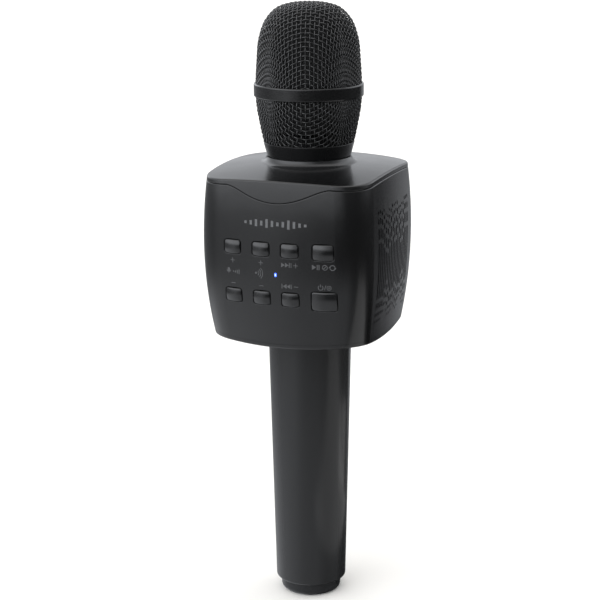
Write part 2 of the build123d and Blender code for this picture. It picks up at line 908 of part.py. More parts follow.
battery_bottom = cap_cup_floor + contact_thickness + fine
battery_top = battery_bottom + battery_length

with BuildPart() as battery_cell:
    with BuildSketch(Plane.XY.offset(battery_bottom)):
        Circle(battery_radius)
    extrude(amount=battery_length - 1.0)
    fillet(battery_cell.edges().filter_by(GeomType.CIRCLE), 0.6)
    with BuildSketch(Plane.XY.offset(battery_top - 1.0)):
        Circle(2.8)
    extrude(amount=1.0)

holder_top = battery_top + 9.0
with BuildPart() as battery_holder:
    with BuildSketch(Plane.XZ):
        Polygon(
            (battery_radius + 0.4, 18.0),
            (handle_bore_bottom - 0.1, 18.0),
            (handle_bore_bottom - 0.1, 20.0),
            (battery_radius + 2.0, 20.0),
            (battery_radius + 2.0, holder_top - 2.0),
            (15.5, holder_top - 2.0),
            (15.5, holder_top),
            (battery_radius + 0.4, holder_top),
            align=None,
        )
    revolve(axis=Axis.Z)

with BuildPart() as battery_plate:
    with BuildSketch(Plane.XY.offset(holder_top + fine)):
        Circle(11)
    extrude(amount=1.0)

with BuildPart() as battery_spring:
    with BuildSketch(Plane.XZ.offset(-2.5)):
        with BuildLine():
            Polyline((-6, holder_top - 0.3), (0, battery_top + 0.5), (6, holder_top - 0.3))
        trace(line_width=0.5)
    extrude(amount=5)

with BuildPart() as end_cap:
    groove_middle = 8.6
    with BuildSketch(Plane.XZ):
        Polygon(
            (0, 0),
            (cap_radius, 0),
            (cap_radius, cap_height),
            (cap_bore - running, cap_height),
            (cap_bore - running, groove_middle - 0.8),
            (11.6, groove_middle - 0.8),
            (11.6, groove_middle + 0.8),
            (cap_bore - running, groove_middle + 0.8),
            (cap_bore - running, cap_spigot_top),
            (cap_cup_radius, cap_spigot_top),
            (cap_cup_radius, cap_cup_floor),
            (0, cap_cup_floor),
            align=None,
        )
    revolve(axis=Axis.Z)
    fillet(end_cap.edges().filter_by(GeomType.CIRCLE).group_by(Axis.Z)[0], 2.4)

with BuildPart() as end_cap_seal:
    with BuildSketch(Plane.XZ):
        with Locations((12.3, groove_middle)):
            Circle(0.62)
    revolve(axis=Axis.Z)

with BuildPart() as cap_contact:
    with BuildSketch(Plane.XY.offset(cap_cup_floor)):
        Circle(7)
    extrude(amount=contact_thickness)

# ------------------------------------------------------------------ grille head

upper_outline = (
    (24.75, band_top), (24.2, 260.3), (23.0, 271.4), (19.8, 279.6), (14.6, 284.8), (9.0, 286.7), (0, head_top)
)
lower_outline = ((21.2, collar_top), (22.1, 226.9), (23.2, 232.5), (24.2, 238.1), (24.75, band_bottom))
foam_outline = ((22.4, 228.4), (23.2, 232.5), (24.2, 238.1), (24.75, band_bottom), *upper_outline)


def inset_outline(points, depth):
    """Move an outline's points inwards by a depth, square to the outline."""
    moved = []
    for index, (radius, height) in enumerate(points):
        before = points[max(index - 1, 0)]
        after = points[min(index + 1, len(points) - 1)]
        along = Vector(after[0] - before[0], after[1] - before[1]).normalized()
        if radius == 0:
            along = Vector(-1, 0)
        moved.append((radius - depth * along.Y, height + depth * along.X))
    return moved


def bowl_shell(points, depth, thickness, start_tangent, end_tangent):
    """A round shell of even thickness whose outside is an outline, depth mm in from it."""
    outside = inset_outline(points, depth)
    inside = inset_outline(points, depth + thickness)
    outside[0] = (outside[0][0], points[0][1])
    inside[0] = (inside[0][0], points[0][1])
    if points[-1][0] > 0:
        outside[-1] = (outside[-1][0], points[-1][1])
        inside[-1] = (inside[-1][0], points[-1][1])
    with BuildPart() as shell:
        with BuildSketch(Plane.XZ):
            with BuildLine():
                Spline(*outside, tangents=(start_tangent, end_tangent))
                Line(outside[-1], inside[-1])
                Spline(*inside, tangents=(start_tangent, end_tangent))
                Line(inside[0], outside[0])
            make_face()
        revolve(axis=Axis.Z)
    return shell.part


upper_grille = bowl_shell(upper_outline, 0, mesh_thickness, (-0.03, 1), (-1, 0))
lower_grille = bowl_shell(lower_outline, 0, mesh_thickness, (0.3, 1), (0.05, 1))
windscreen_foam = bowl_shell(foam_outline, foam_gap, foam_thickness, (0.2, 1), (-1, 0))

with BuildPart() as grille_band:
    with BuildSketch(Plane.XZ):
        with Locations(((band_inner + band_radius) / 2, (band_bottom + band_top) / 2)):
            Rectangle(band_radius - band_inner, band_top - band_bottom)
    revolve(axis=Axis.Z)
    outer_edges = grille_band.edges().filter_by(GeomType.CIRCLE).sort_by(SortBy.RADIUS)[-2:]
    fillet(outer_edges, 0.7)

with BuildPart() as grille_collar:
    with BuildSketch(Plane.XZ):
        Polygon(
            (neck_radius + running + 0.1, collar_bottom),
            (19.6, collar_bottom),
            (21.35, collar_top),
            (20.15, collar_top),
            (20.15, collar_sleeve_top),
            (neck_radius + running + 0.1, collar_sleeve_top),
            align=None,
        )
    revolve(axis=Axis.Z)
    for level in (collar_bottom, collar_top):
        rings = grille_collar.edges().filter_by(GeomType.CIRCLE).filter_by_position(Axis.Z, level, level)
        fillet(rings.sort_by(SortBy.RADIUS)[-1], 0.35)

with BuildPart() as collar_seal:
    with BuildSketch(Plane.XZ):
        with Locations((18.4, (flare_top + collar_bottom) / 2)):
            Rectangle(1.0, 0.24)
    revolve(axis=Axis.Z)

# The capsule stands on a post in the neck and does not turn with the grille.
post_seat = neck_floor + fine
post_head = 236.0
with BuildPart() as capsule_post:
    with BuildSketch(Plane.XZ):
        Polygon(
            (2.0, post_seat),
            (neck_bore - 0.1, post_seat),
            (neck_bore - 0.1, neck_top),
            (14.2, neck_top + 0.6),
            (14.2, post_head),
            (12.6, post_head),
            (12.6, post_seat + 2.0),
            (2.0, post_seat + 2.0),
            align=None,
        )
    revolve(axis=Axis.Z)

with BuildPart() as capsule_shock_mount:
    with BuildSketch(Plane.XZ):
        Polygon(
            (10.3, post_head), (14.2, post_head), (14.2, 239.0), (12.2, 241.0), (10.3, 241.0), align=None
        )
    revolve(axis=Axis.Z)

with BuildPart() as capsule_housing:
    with BuildSketch(Plane.XZ):
        Polygon(
            (0, 235.0),
            (10.2, 235.0),
            (10.2, 241.1),
            (13.0, 242.1),
            (13.0, 252.0),
            (11.9, 252.0),
            (11.9, 250.0),
            (11.4, 250.0),
            (11.4, 244.5),
            (0, 244.5),
            align=None,
        )
    revolve(axis=Axis.Z)

with BuildPart() as capsule_diaphragm:
    with BuildSketch(Plane.XY.offset(250.05)):
        Circle(11.8)
    extrude(amount=0.2)

with BuildPart() as capsule_grid:
    with BuildSketch(Plane.XY.offset(252.05)):
        Circle(13)
        for ring, count in ((4.2, 6), (8.6, 12)):
            with PolarLocations(ring, count):
                Circle(1.3, mode=Mode.SUBTRACT)
        Circle(1.3, mode=Mode.SUBTRACT)
    extrude(amount=1.0)

# ------------------------------------------------------------------ internal leads


def lead(route, bend, radius):
    """A round lead along straight runs joined by arcs."""
    with BuildPart() as cable:
        with BuildLine() as path:
            FilletPolyline(*route, radius=bend)
        with BuildSketch(Plane(origin=route[0], z_dir=Vector(*route[1]) - Vector(*route[0]))):
            Circle(radius)
        sweep(path=path.wires()[0])
    return cable.part


microphone_lead = lead(((0, 0, 234.9), (0, 0, 196), (0, -13, 176), (0, -13, board_top + 0.05)), 12, 1.1)

battery_lead = lead(
    ((2, 0, holder_top + 1.1), (2, 0, 112), (2, 12.5, 130), (2, 12.5, board_top - board_thickness - 0.05)),
    8, 1.0,
)

with BuildPart() as speaker_leads:
    for side in (-1, 1):
        add(lead(
            ((side * 24.6, 0, 153.3), (side * 24.6, -3, 148), (side * 21, -7, board_top + 0.5)),
            4, 0.7,
        ))

with BuildPart() as panel_ribbon:
    with BuildSketch(Plane.YZ.offset(-6)):
        with BuildLine():
            FilletPolyline(
                (panel_front + board_thickness + 0.2, 156),
                (panel_front + board_thickness + 0.2, 148),
                (-26, board_top + 0.2),
                (board_front + 3, board_top + 0.2),
                radius=3,
            )
        trace(line_width=0.3)
    extrude(amount=12)

# ------------------------------------------------------------------ the pieces

pieces = {
    "top_cover": top_cover.part,
    "housing": housing.part,
    "bottom_cover": bottom_cover.part,
    "case_screws": case_screws,
    **key_parts,
    "tact_switches": tact_switches.part,
    "control_board": control_board.part,
    "status_led": status_led.part,
    "led_light_pipe": led_light_pipe.part,
    **speaker_parts,
    "speaker_cloths": speaker_cloths.part,
    "speaker_screws": speaker_screws,
    "main_board": main_board.part,
    "usb_port": usb_port.part,
    "audio_jack": audio_jack.part,
    "card_slot": card_slot.part,
    "board_screws": board_screws,
    "handle_tube": handle_tube.part,
    "flange_screws": flange_screws,
    "battery_cell": battery_cell.part,
    "battery_holder": battery_holder.part,
    "battery_plate": battery_plate.part,
    "battery_spring": battery_spring.part,
    "end_cap": end_cap.part,
    "end_cap_seal": end_cap_seal.part,
    "cap_contact": cap_contact.part,
    "upper_grille": upper_grille,
    "lower_grille": lower_grille,
    "grille_band": grille_band.part,
    "grille_collar": grille_collar.part,
    "windscreen_foam": windscreen_foam,
    "collar_seal": collar_seal.part,
    "capsule_post": capsule_post.part,
    "capsule_shock_mount": capsule_shock_mount.part,
    "capsule_housing": capsule_housing.part,
    "capsule_diaphragm": capsule_diaphragm.part,
    "capsule_grid": capsule_grid.part,
    "microphone_lead": microphone_lead,
    "speaker_leads": speaker_leads.part,
    "battery_lead": battery_lead,
    "panel_ribbon": panel_ribbon.part,
}
for name, piece in pieces.items():
    piece.label = name
    export_step(piece, f"parts/{name}.step")
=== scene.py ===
"""Looks of the karaoke microphone: materials, woven grille, foam and printed marks on the CAD frame."""

import math

import bpy
import numpy as np
from mathutils import Matrix, Vector
from mathutils.bvhtree import BVHTree


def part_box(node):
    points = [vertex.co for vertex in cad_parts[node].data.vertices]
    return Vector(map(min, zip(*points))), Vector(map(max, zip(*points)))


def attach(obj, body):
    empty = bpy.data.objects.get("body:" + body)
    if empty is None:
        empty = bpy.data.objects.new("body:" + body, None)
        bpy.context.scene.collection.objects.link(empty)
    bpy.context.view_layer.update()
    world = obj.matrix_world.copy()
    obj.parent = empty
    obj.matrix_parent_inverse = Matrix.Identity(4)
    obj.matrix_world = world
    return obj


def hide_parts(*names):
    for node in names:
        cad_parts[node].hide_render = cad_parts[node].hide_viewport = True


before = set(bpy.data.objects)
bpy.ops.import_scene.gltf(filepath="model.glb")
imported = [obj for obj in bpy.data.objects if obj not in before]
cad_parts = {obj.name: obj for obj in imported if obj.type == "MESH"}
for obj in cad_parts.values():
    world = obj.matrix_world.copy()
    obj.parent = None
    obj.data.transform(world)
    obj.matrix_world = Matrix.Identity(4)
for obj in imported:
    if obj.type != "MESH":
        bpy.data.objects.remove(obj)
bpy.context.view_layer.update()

MM = 0.001
SEED = 7


# ------------------------------------------------------------------ camera

CAMERA_AZIMUTH = math.radians(20.6)  # round from the control panel towards +X
CAMERA_ELEVATION = math.radians(14.5)
CAMERA_DISTANCE = 811.4 * MM
CAMERA_TARGET = 146.4 * MM
CAMERA_SIDE_STEP = 4.7 * MM
CAMERA_ROLL = math.radians(0.37)
CAMERA_LENS = 102.0


def make_camera():
    """A long lens a little above the control panel, looking down at the speaker box."""
    data = bpy.data.cameras.new("camera")
    data.lens = CAMERA_LENS
    data.clip_start = 0.05
    data.clip_end = 50.0
    camera = bpy.data.objects.new("camera", data)
    bpy.context.scene.collection.objects.link(camera)
    bpy.context.scene.camera = camera
    away = Vector((
        math.sin(CAMERA_AZIMUTH) * math.cos(CAMERA_ELEVATION),
        -math.cos(CAMERA_AZIMUTH) * math.cos(CAMERA_ELEVATION),
        math.sin(CAMERA_ELEVATION),
    ))
    side = Vector((math.cos(CAMERA_AZIMUTH), math.sin(CAMERA_AZIMUTH), 0.0))
    turn = Matrix((side, away.cross(side), away)).transposed() @ Matrix.Rotation(-CAMERA_ROLL, 3, "Z")
    place = Vector((0, 0, CAMERA_TARGET)) + away * CAMERA_DISTANCE - side * CAMERA_SIDE_STEP
    camera.matrix_world = Matrix.Translation(place) @ turn.to_4x4()


# ------------------------------------------------------------------ node helpers


def add_node(tree, kind, inputs=None, **settings):
    """A node in a tree; inputs are values or links by socket name or number."""
    node = tree.nodes.new(kind)
    for name, value in settings.items():
        setattr(node, name, value)
    for name, value in (inputs or {}).items():
        if isinstance(value, bpy.types.NodeSocket):
            tree.links.new(value, node.inputs[name])
        else:
            node.inputs[name].default_value = value
    return node


def add_ramp(tree, value, stops, interpolation="EASE"):
    """A colour ramp over (position, grey or colour) stops."""
    node = add_node(tree, "ShaderNodeValToRGB", {"Fac": value})
    ramp = node.color_ramp
    ramp.interpolation = interpolation
    while len(ramp.elements) < len(stops):
        ramp.elements.new(0.5)
    for element, (position, shade) in zip(ramp.elements, stops):
        element.position = position
        element.color = (*grey(shade), 1.0)
    return node.outputs["Color"]


COOL = (0.975, 1.0, 1.045)


def grey(shade):
    """A slightly cool grey from one number, or the colour itself."""
    return tuple(shade * part for part in COOL) if isinstance(shade, (int, float)) else tuple(shade)


def maths(tree, operation, *values):
    """One Math node's result."""
    node = add_node(tree, "ShaderNodeMath", operation=operation)
    for socket, value in zip(node.inputs, values):
        if isinstance(value, bpy.types.NodeSocket):
            tree.links.new(value, socket)
        else:
            socket.default_value = value
    return node.outputs[0]


WAVE_SHARE = math.pi / 10.0  # a wave texture of scale 1 repeats after this length


class Look:
    """A Principled material, with short calls for the detail in it."""

    def __init__(self, name, colour, roughness, **sockets):
        self.made = bpy.data.materials.new(name)
        self.made.use_nodes = True
        self.tree = self.made.node_tree
        self.shader = self.tree.nodes["Principled BSDF"]
        self.shader.inputs["Base Color"].default_value = (*grey(colour), 1.0)
        self.shader.inputs["Roughness"].default_value = roughness
        for socket, value in sockets.items():
            self.shader.inputs[socket.replace("_", " ")].default_value = value
        self.normal = None

    def place(self, stretch=(1.0, 1.0, 1.0)):
        """Object coordinates in metres, which are the row frame's, stretched along each axis."""
        spot = add_node(self.tree, "ShaderNodeTexCoord").outputs["Object"]
        if tuple(stretch) == (1.0, 1.0, 1.0):
            return spot
        return add_node(self.tree, "ShaderNodeMapping", {"Vector": spot, "Scale": stretch}).outputs["Vector"]

    def noise(self, size, detail=2.0, stretch=(1.0, 1.0, 1.0), rough=0.5):
        """Noise whose features are about size metres across."""
        inputs = {"Vector": self.place(stretch), "Scale": 1.0 / size, "Detail": detail, "Roughness": rough}
        return add_node(self.tree, "ShaderNodeTexNoise", inputs).outputs["Fac"]

    def cells(self, size, feature="F1"):
        """Voronoi cells about size metres across."""
        inputs = {"Vector": self.place(), "Scale": 1.0 / size}
        return add_node(self.tree, "ShaderNodeTexVoronoi", inputs, feature=feature).outputs["Distance"]

    def waves(self, size, direction):
        """Parallel bands size metres apart."""
        inputs = {"Vector": self.place(), "Scale": WAVE_SHARE / size}
        return add_node(self.tree, "ShaderNodeTexWave", inputs, bands_direction=direction).outputs["Fac"]

    def colour(self, value, low, high, start=0.3, end=0.7):
        """Base colour that goes from low to high with a value."""
        shade = add_ramp(self.tree, value, ((start, low), (end, high)), "LINEAR")
        self.tree.links.new(shade, self.shader.inputs["Base Color"])
        return self

    def rough(self, value, low, high, start=0.3, end=0.7):
        """Roughness that goes from low to high with a value."""
        inputs = {"Value": value, "From Min": start, "From Max": end, "To Min": low, "To Max": high}
        node = add_node(self.tree, "ShaderNodeMapRange", inputs)
        self.tree.links.new(node.outputs["Result"], self.shader.inputs["Roughness"])
        return self

    def bump(self, height, depth, strength=1.0):
        """Relief depth metres deep, on top of any relief already there."""
        inputs = {"Height": height, "Distance": depth, "Strength": strength}
        if self.normal is not None:
            inputs["Normal"] = self.normal
        self.normal = add_node(self.tree, "ShaderNodeBump", inputs).outputs["Normal"]
        self.tree.links.new(self.normal, self.shader.inputs["Normal"])
        return self


# ------------------------------------------------------------------ room, floor and lights

FLOOR_SIZE = 60.0
BACKDROP_REACH = 4.0
DIRECTIONS = 2.0 * math.pi


def make_floor():
    """A plain white floor. It stays under the end cap, which comes down as it is unscrewed."""
    mesh = bpy.data.meshes.new("floor")
    half = FLOOR_SIZE / 2
    mesh.from_pydata([(-half, -half, 0), (half, -half, 0), (half, half, 0), (-half, half, 0)], [], [(0, 1, 2, 3)])
    floor = bpy.data.objects.new("floor", mesh)
    bpy.context.scene.collection.objects.link(floor)
    look = Look("floor_white", (0.88, 0.86, 0.82), 0.9, Specular_IOR_Level=0.1)
    look.colour(look.noise(0.4), (0.87, 0.85, 0.81), (0.89, 0.87, 0.83))
    mesh.materials.append(look.made)
    floor.visible_glossy = False
    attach(floor, "end_cap")


def make_backdrop():
    """A far white wall all round, so low views have a plain ground; it takes no part in the lighting."""
    sides = 64
    corners = [(BACKDROP_REACH * math.sin(DIRECTIONS * k / sides), BACKDROP_REACH * math.cos(DIRECTIONS * k / sides), z)
               for z in (0, BACKDROP_REACH) for k in range(sides)]
    faces = [(k, (k + 1) % sides, sides + (k + 1) % sides, sides + k) for k in range(sides)]
    mesh = bpy.data.meshes.new("backdrop")
    mesh.from_pydata(corners, [], faces)
    backdrop = bpy.data.objects.new("backdrop", mesh)
    bpy.context.scene.collection.objects.link(backdrop)
    look = Look("backdrop_white", 0.0, 1.0, Emission_Color=(1.0, 1.0, 1.0, 1.0), Emission_Strength=1.0)
    mesh.materials.append(look.made)
    backdrop.visible_diffuse = False
    backdrop.visible_glossy = False
    backdrop.visible_transmission = False
    backdrop.visible_shadow = False
    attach(backdrop, "end_cap")


def make_room():
    """Soft light from all round: bright to the left and behind, dark to the right of the camera."""
    world = bpy.data.worlds.new("studio")
    bpy.context.scene.world = world
    world.use_nodes = True
    tree = world.node_tree
    tree.nodes.clear()
    spot = add_node(tree, "ShaderNodeTexCoord").outputs["Generated"]
    axes = add_node(tree, "ShaderNodeSeparateXYZ", {"Vector": spot})
    x, y, z = axes.outputs
    turn = maths(tree, "ARCTAN2", x, maths(tree, "MULTIPLY", y, -1.0))
    turn = maths(tree, "ADD", maths(tree, "DIVIDE", turn, DIRECTIONS), 0.5)
    height = maths(tree, "DIVIDE", maths(tree, "ARCSINE", z), math.pi)
    height = maths(tree, "ADD", height, 0.5)

    def bearing(degrees):
        """A ramp position for a direction, in degrees to the right of the control panel's."""
        return degrees / 360.0 + 0.5

    def rise(degrees):
        """A ramp position for a height above the horizon, in degrees."""
        return degrees / 180.0 + 0.5

    low = add_ramp(tree, turn, (
        (bearing(-180), 0.6), (bearing(-120), 0.3), (bearing(-75), 0.36), (bearing(-45), 0.65), (bearing(-25), 0.82),
        (bearing(-10), 0.42), (bearing(6), 0.06), (bearing(18), 0.05), (bearing(136), 0.07), (bearing(154), 0.04),
        (bearing(165), 0.42), (bearing(180), 0.6),
    ))
    under = add_ramp(tree, turn, (
        (bearing(-180), 0.15), (bearing(-90), 1.2), (bearing(-60), 1.3), (bearing(-40), 1.15), (bearing(-25), 1.0),
        (bearing(-10), 0.75), (bearing(40), 0.65), (bearing(70), 0.25), (bearing(104), 0.3), (bearing(118), 0.22),
        (bearing(130), 0.02), (bearing(172), 0.0), (bearing(180), 0.15),
    ))
    high = add_ramp(tree, turn, (
        (bearing(-180), 0.85), (bearing(-158), 0.95), (bearing(-130), 1.9), (bearing(-95), 1.1), (bearing(-50), 2.8),
        (bearing(-8), 2.6), (bearing(18), 1.2), (bearing(42), 0.22), (bearing(80), 0.2), (bearing(100), 0.6),
        (bearing(125), 1.7), (bearing(150), 1.6), (bearing(180), 0.85),
    ))
    to_under = add_ramp(tree, height, ((rise(-24), 1.0), (rise(-16), 0.0)))
    to_high = add_ramp(tree, height, ((rise(-3), 0.0), (rise(2.5), 1.0)))
    to_top = add_ramp(tree, height, ((rise(35), 0.0), (rise(60), 1.0)))
    mix = {"data_type": "RGBA"}
    lower = add_node(tree, "ShaderNodeMix", {0: to_under, 6: low, 7: under}, **mix).outputs[2]
    upper = add_node(tree, "ShaderNodeMix", {0: to_high, 6: lower, 7: high}, **mix).outputs[2]
    whole = add_node(tree, "ShaderNodeMix", {0: to_top, 6: upper, 7: (1.6, 1.6, 1.6, 1.0)}, **mix).outputs[2]
    shade = add_node(tree, "ShaderNodeBackground", {"Color": whole, "Strength": 1.0})
    out = add_node(tree, "ShaderNodeOutputWorld")
    tree.links.new(shade.outputs[0], out.inputs["Surface"])


def make_card(name, centre, size, turn, radiance):
    """A pale card, its centre and size in millimetres; only reflections show it."""
    width, height = size[0] * MM, size[1] * MM
    data = bpy.data.lights.new(name, "AREA")
    data.shape = "RECTANGLE"
    data.size = width
    data.size_y = height
    data.energy = radiance * math.pi * width * height
    card = bpy.data.objects.new(name, data)
    bpy.context.scene.collection.objects.link(card)
    card.location = Vector(centre) * MM
    card.rotation_euler = turn
    card.visible_camera = False
    card.visible_diffuse = False
    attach(card, "end_cap")


def make_cards():
    """One card lying to the right of the microphone, and one standing close behind its handle."""
    make_card("floor_card", (290, 0, 1), (460, 220), (math.pi, 0, 0), 0.65)
    make_card("handle_card", (106, 74, 32), (74, 50), (math.pi / 2, 0, math.radians(125)), 0.7)


# ------------------------------------------------------------------ materials of the CAD nodes


DECK_PAINTED_LIGHT_FROM = 213.2 * MM  # just under the deck
DECK_PAINTED_LIGHT_FULL = 214.3 * MM


def shell_plastic():
    """Black moulded ABS with a fine spark-eroded texture; the deck, which faces up, gets painted light: its colour is
    made lighter.
    """
    look = Look("moulded_black_shell", 0.0035, 0.2, Specular_IOR_Level=0.5)
    height = add_node(look.tree, "ShaderNodeSeparateXYZ", {"Vector": look.place()}).outputs["Z"]
    # painted light: above the deck's edge the colour turns lighter, standing in for the light the deck catches from
    # above
    look.colour(height, 0.0035, 0.012, DECK_PAINTED_LIGHT_FROM, DECK_PAINTED_LIGHT_FULL)
    look.rough(look.noise(14 * MM, 3), 0.19, 0.23)
    look.bump(look.noise(0.22 * MM, 2), 0.006 * MM)
    return look


def key_plastic():
    """Black keys, polished by fingers."""
    look = Look("polished_black_key", 0.005, 0.2, Specular_IOR_Level=0.6)
    look.rough(look.noise(4 * MM, 3), 0.15, 0.21)
    look.bump(look.noise(0.3 * MM, 2), 0.003 * MM)
    return look


def handle_paint():
    """Satin black lacquer over a turned aluminium tube."""
    look = Look("satin_handle_lacquer", 0.016, 0.22, Specular_IOR_Level=0.3)
    look.rough(look.noise(9 * MM, 3, (1, 1, 0.3)), 0.2, 0.25)
    look.bump(look.noise(0.35 * MM, 3), 0.005 * MM)
    return look


def cap_paint():
    """The end cap's lacquer, a little glossier than the handle's."""
    look = Look("satin_cap_lacquer", 0.02, 0.22, Specular_IOR_Level=0.15)
    look.rough(look.noise(5 * MM, 3), 0.22, 0.3)
    look.bump(look.noise(0.35 * MM, 3), 0.004 * MM)
    return look


def band_paint():
    """Black lacquered steel band."""
    look = Look("lacquered_band", 0.004, 0.2, Specular_IOR_Level=0.5)
    look.rough(look.noise(3 * MM, 3, (1, 1, 6)), 0.16, 0.24)
    look.bump(look.noise(0.5 * MM, 2, (1, 1, 8)), 0.003 * MM)
    return look


def collar_gloss():
    """Polished black moulding."""
    look = Look("polished_collar", 0.006, 0.15, Specular_IOR_Level=0.2)
    look.rough(look.noise(5 * MM, 2), 0.12, 0.18)
    look.bump(look.noise(2.5 * MM, 2), 0.004 * MM)
    return look


def mesh_steel():
    """Black coated steel wire."""
    look = Look("coated_wire", 0.004, 0.25, Specular_IOR_Level=0.85)
    look.rough(look.noise(1.2 * MM, 2), 0.2, 0.3)
    look.bump(look.noise(0.12 * MM, 1), 0.002 * MM)
    return look


def foam():
    """Black open-cell foam."""
    look = Look("open_cell_foam", 0.006, 0.95, Specular_IOR_Level=0.2)
    # painted shade: the cell hollows, which the bump below sinks, are coloured darker
    look.colour(look.cells(0.5 * MM), 0.002, 0.012, 0.1, 0.6)
    look.bump(look.cells(0.5 * MM), 0.25 * MM)
    return look


def speaker_cloth():
    """Black acoustic cloth with a plain weave."""
    look = Look("acoustic_cloth", 0.004, 0.95, Sheen_Weight=0.05, Specular_IOR_Level=0.2)
    look.bump(look.waves(0.45 * MM, "Y"), 0.04 * MM)
    look.bump(look.waves(0.45 * MM, "Z"), 0.04 * MM)
    return look


def light_pipe():
    """Clear pipe lit blue from behind, white at its core."""
    look = Look("lit_light_pipe", (0.1, 0.2, 0.6), 0.15, Emission_Strength=1.6)
    low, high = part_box("led_light_pipe")
    centre = (low + high) / 2
    spot = add_node(look.tree, "ShaderNodeVectorMath",
                    {0: look.place(), 1: (centre.x, centre.y, centre.z)}, operation="SUBTRACT").outputs[0]
    flat = add_node(look.tree, "ShaderNodeVectorMath",
                    {0: spot, 1: (1.0, 0.0, 0.62)}, operation="MULTIPLY").outputs[0]
    reach = add_node(look.tree, "ShaderNodeVectorMath", {0: flat}, operation="LENGTH").outputs["Value"]
    share = maths(look.tree, "DIVIDE", reach, 0.62 * MM)
    glow = add_ramp(look.tree, share, ((0.1, (0.7, 0.85, 1.0)), (0.75, (0.01, 0.08, 1.0))))
    look.tree.links.new(glow, look.shader.inputs["Emission Color"])
    return look


def led_blue():
    """The lamp itself, behind the pipe."""
    look = Look("blue_led", (0.1, 0.2, 0.9), 0.3, Emission_Strength=3.0)
    look.shader.inputs["Emission Color"].default_value = (0.05, 0.2, 1.0, 1.0)
    look.rough(look.noise(0.5 * MM), 0.25, 0.4)
    return look


def metal(name, colour, roughness, grain=0.6 * MM, depth=0.004 * MM):
    """Bare metal with a fine grain."""
    look = Look(name, colour, roughness, Metallic=1.0)
    look.rough(look.noise(3 * MM, 3), roughness * 0.8, roughness * 1.25)
    look.bump(look.noise(grain, 2, (1, 1, 4)), depth)
    return look


def plain(name, colour, roughness, spread=0.15, grain=0.5 * MM, depth=0.01 * MM):
    """A dull moulded or painted part whose colour varies a little."""
    look = Look(name, colour, roughness)
    dark = tuple(c * (1 - spread) for c in grey(colour))
    light = tuple(c * (1 + spread) for c in grey(colour))
    look.colour(look.noise(4 * MM, 3), dark, light)
    look.bump(look.noise(grain, 2), depth)
    return look


def circuit_board():
    """Green solder mask with copper tracks under it."""
    look = Look("solder_mask", (0.01, 0.08, 0.03), 0.35, Coat_Weight=0.3)
    look.colour(look.cells(2.2 * MM, "DISTANCE_TO_EDGE"), (0.02, 0.14, 0.05), (0.008, 0.06, 0.025), 0.02, 0.08)
    look.bump(look.cells(2.2 * MM, "DISTANCE_TO_EDGE"), 0.03 * MM)
    return look


def coil_copper():
    """Fine copper windings."""
    look = Look("copper_winding", (0.75, 0.32, 0.15), 0.35, Metallic=1.0)
    look.bump(look.waves(0.18 * MM, "X"), 0.04 * MM)
    return look


def cone_paper():
    """Pressed black paper pulp."""
    look = Look("pressed_paper", 0.018, 0.8)
    look.colour(look.noise(0.8 * MM, 4), 0.012, 0.026)
    look.bump(look.noise(0.25 * MM, 4), 0.03 * MM)
    return look


def battery_wrap():
    """Shrink sleeve round the cell."""
    look = Look("shrink_sleeve", (0.02, 0.12, 0.3), 0.3, Coat_Weight=0.4)
    look.colour(look.noise(6 * MM, 2), (0.015, 0.1, 0.26), (0.025, 0.14, 0.34))
    look.bump(look.noise(1.5 * MM, 2), 0.01 * MM)
    return look


LOOKS = {
    "shell_plastic": shell_plastic,
    "key_plastic": key_plastic,
    "handle_paint": handle_paint,
    "cap_paint": cap_paint,
    "mesh_steel": mesh_steel,
    "band_paint": band_paint,
    "collar_gloss": collar_gloss,
    "foam": foam,
    "steel_screws": lambda: metal("plated_screw", (0.32, 0.31, 0.3), 0.3),
    "switch_plastic": lambda: plain("switch_moulding", 0.03, 0.5),
    "circuit_board": circuit_board,
    "led_blue": led_blue,
    "light_pipe": light_pipe,
    "speaker_cloth": speaker_cloth,
    "socket_steel": lambda: metal("pressed_socket", (0.45, 0.45, 0.46), 0.28),
    "socket_plastic": lambda: plain("socket_moulding", 0.012, 0.4),
    "battery_wrap": battery_wrap,
    "inner_plastic": lambda: plain("inner_moulding", 0.02, 0.55),
    "contact_brass": lambda: metal("contact_brass", (0.7, 0.52, 0.22), 0.3),
    "seal_rubber": lambda: plain("seal_rubber", 0.012, 0.7),
    "capsule_metal": lambda: metal("capsule_nickel", (0.5, 0.49, 0.46), 0.3),
    "diaphragm_film": lambda: metal("gold_film", (0.8, 0.62, 0.3), 0.2),
    "lead_sheath": lambda: plain("lead_sheath", (0.16, 0.02, 0.02), 0.5),
    "ribbon_film": lambda: plain("ribbon_film", (0.3, 0.3, 0.32), 0.4),
    "speaker_steel": lambda: metal("speaker_basket", (0.12, 0.12, 0.13), 0.4),
    "magnet_ferrite": lambda: plain("ferrite", 0.03, 0.6),
    "cone_paper": cone_paper,
    "coil_copper": coil_copper,
}


def dress_nodes():
    """Give every CAD node its look, by the name of its material slot."""
    made = {}
    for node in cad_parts.values():
        for place in node.material_slots:
            kind = place.material.name.split(".")[0]
            if kind not in made:
                made[kind] = LOOKS[kind]().made
            place.material = made[kind]
    return made


# ------------------------------------------------------------------ woven grille

PITCH = 2.05 * MM
WIRE_RADIUS = 0.235 * MM
WEAVE = 0.28 * MM
STEPS = 4  # points along a wire from one crossing to the next
SIDES = 6
MID_WIRE = 0.5  # how far in from the outline the middle of the cloth lies, in millimetres
DIAGONAL_SHARE = 0.45  # how much width cells keep half-way between the cloth's own directions
WEAVE_BEARING = math.radians(16.5)
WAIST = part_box("upper_grille")[0].z  # top of the band
WAIST_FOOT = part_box("lower_grille")[1].z
COLLAR_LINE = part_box("lower_grille")[0].z
HEAD_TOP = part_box("upper_grille")[1].z

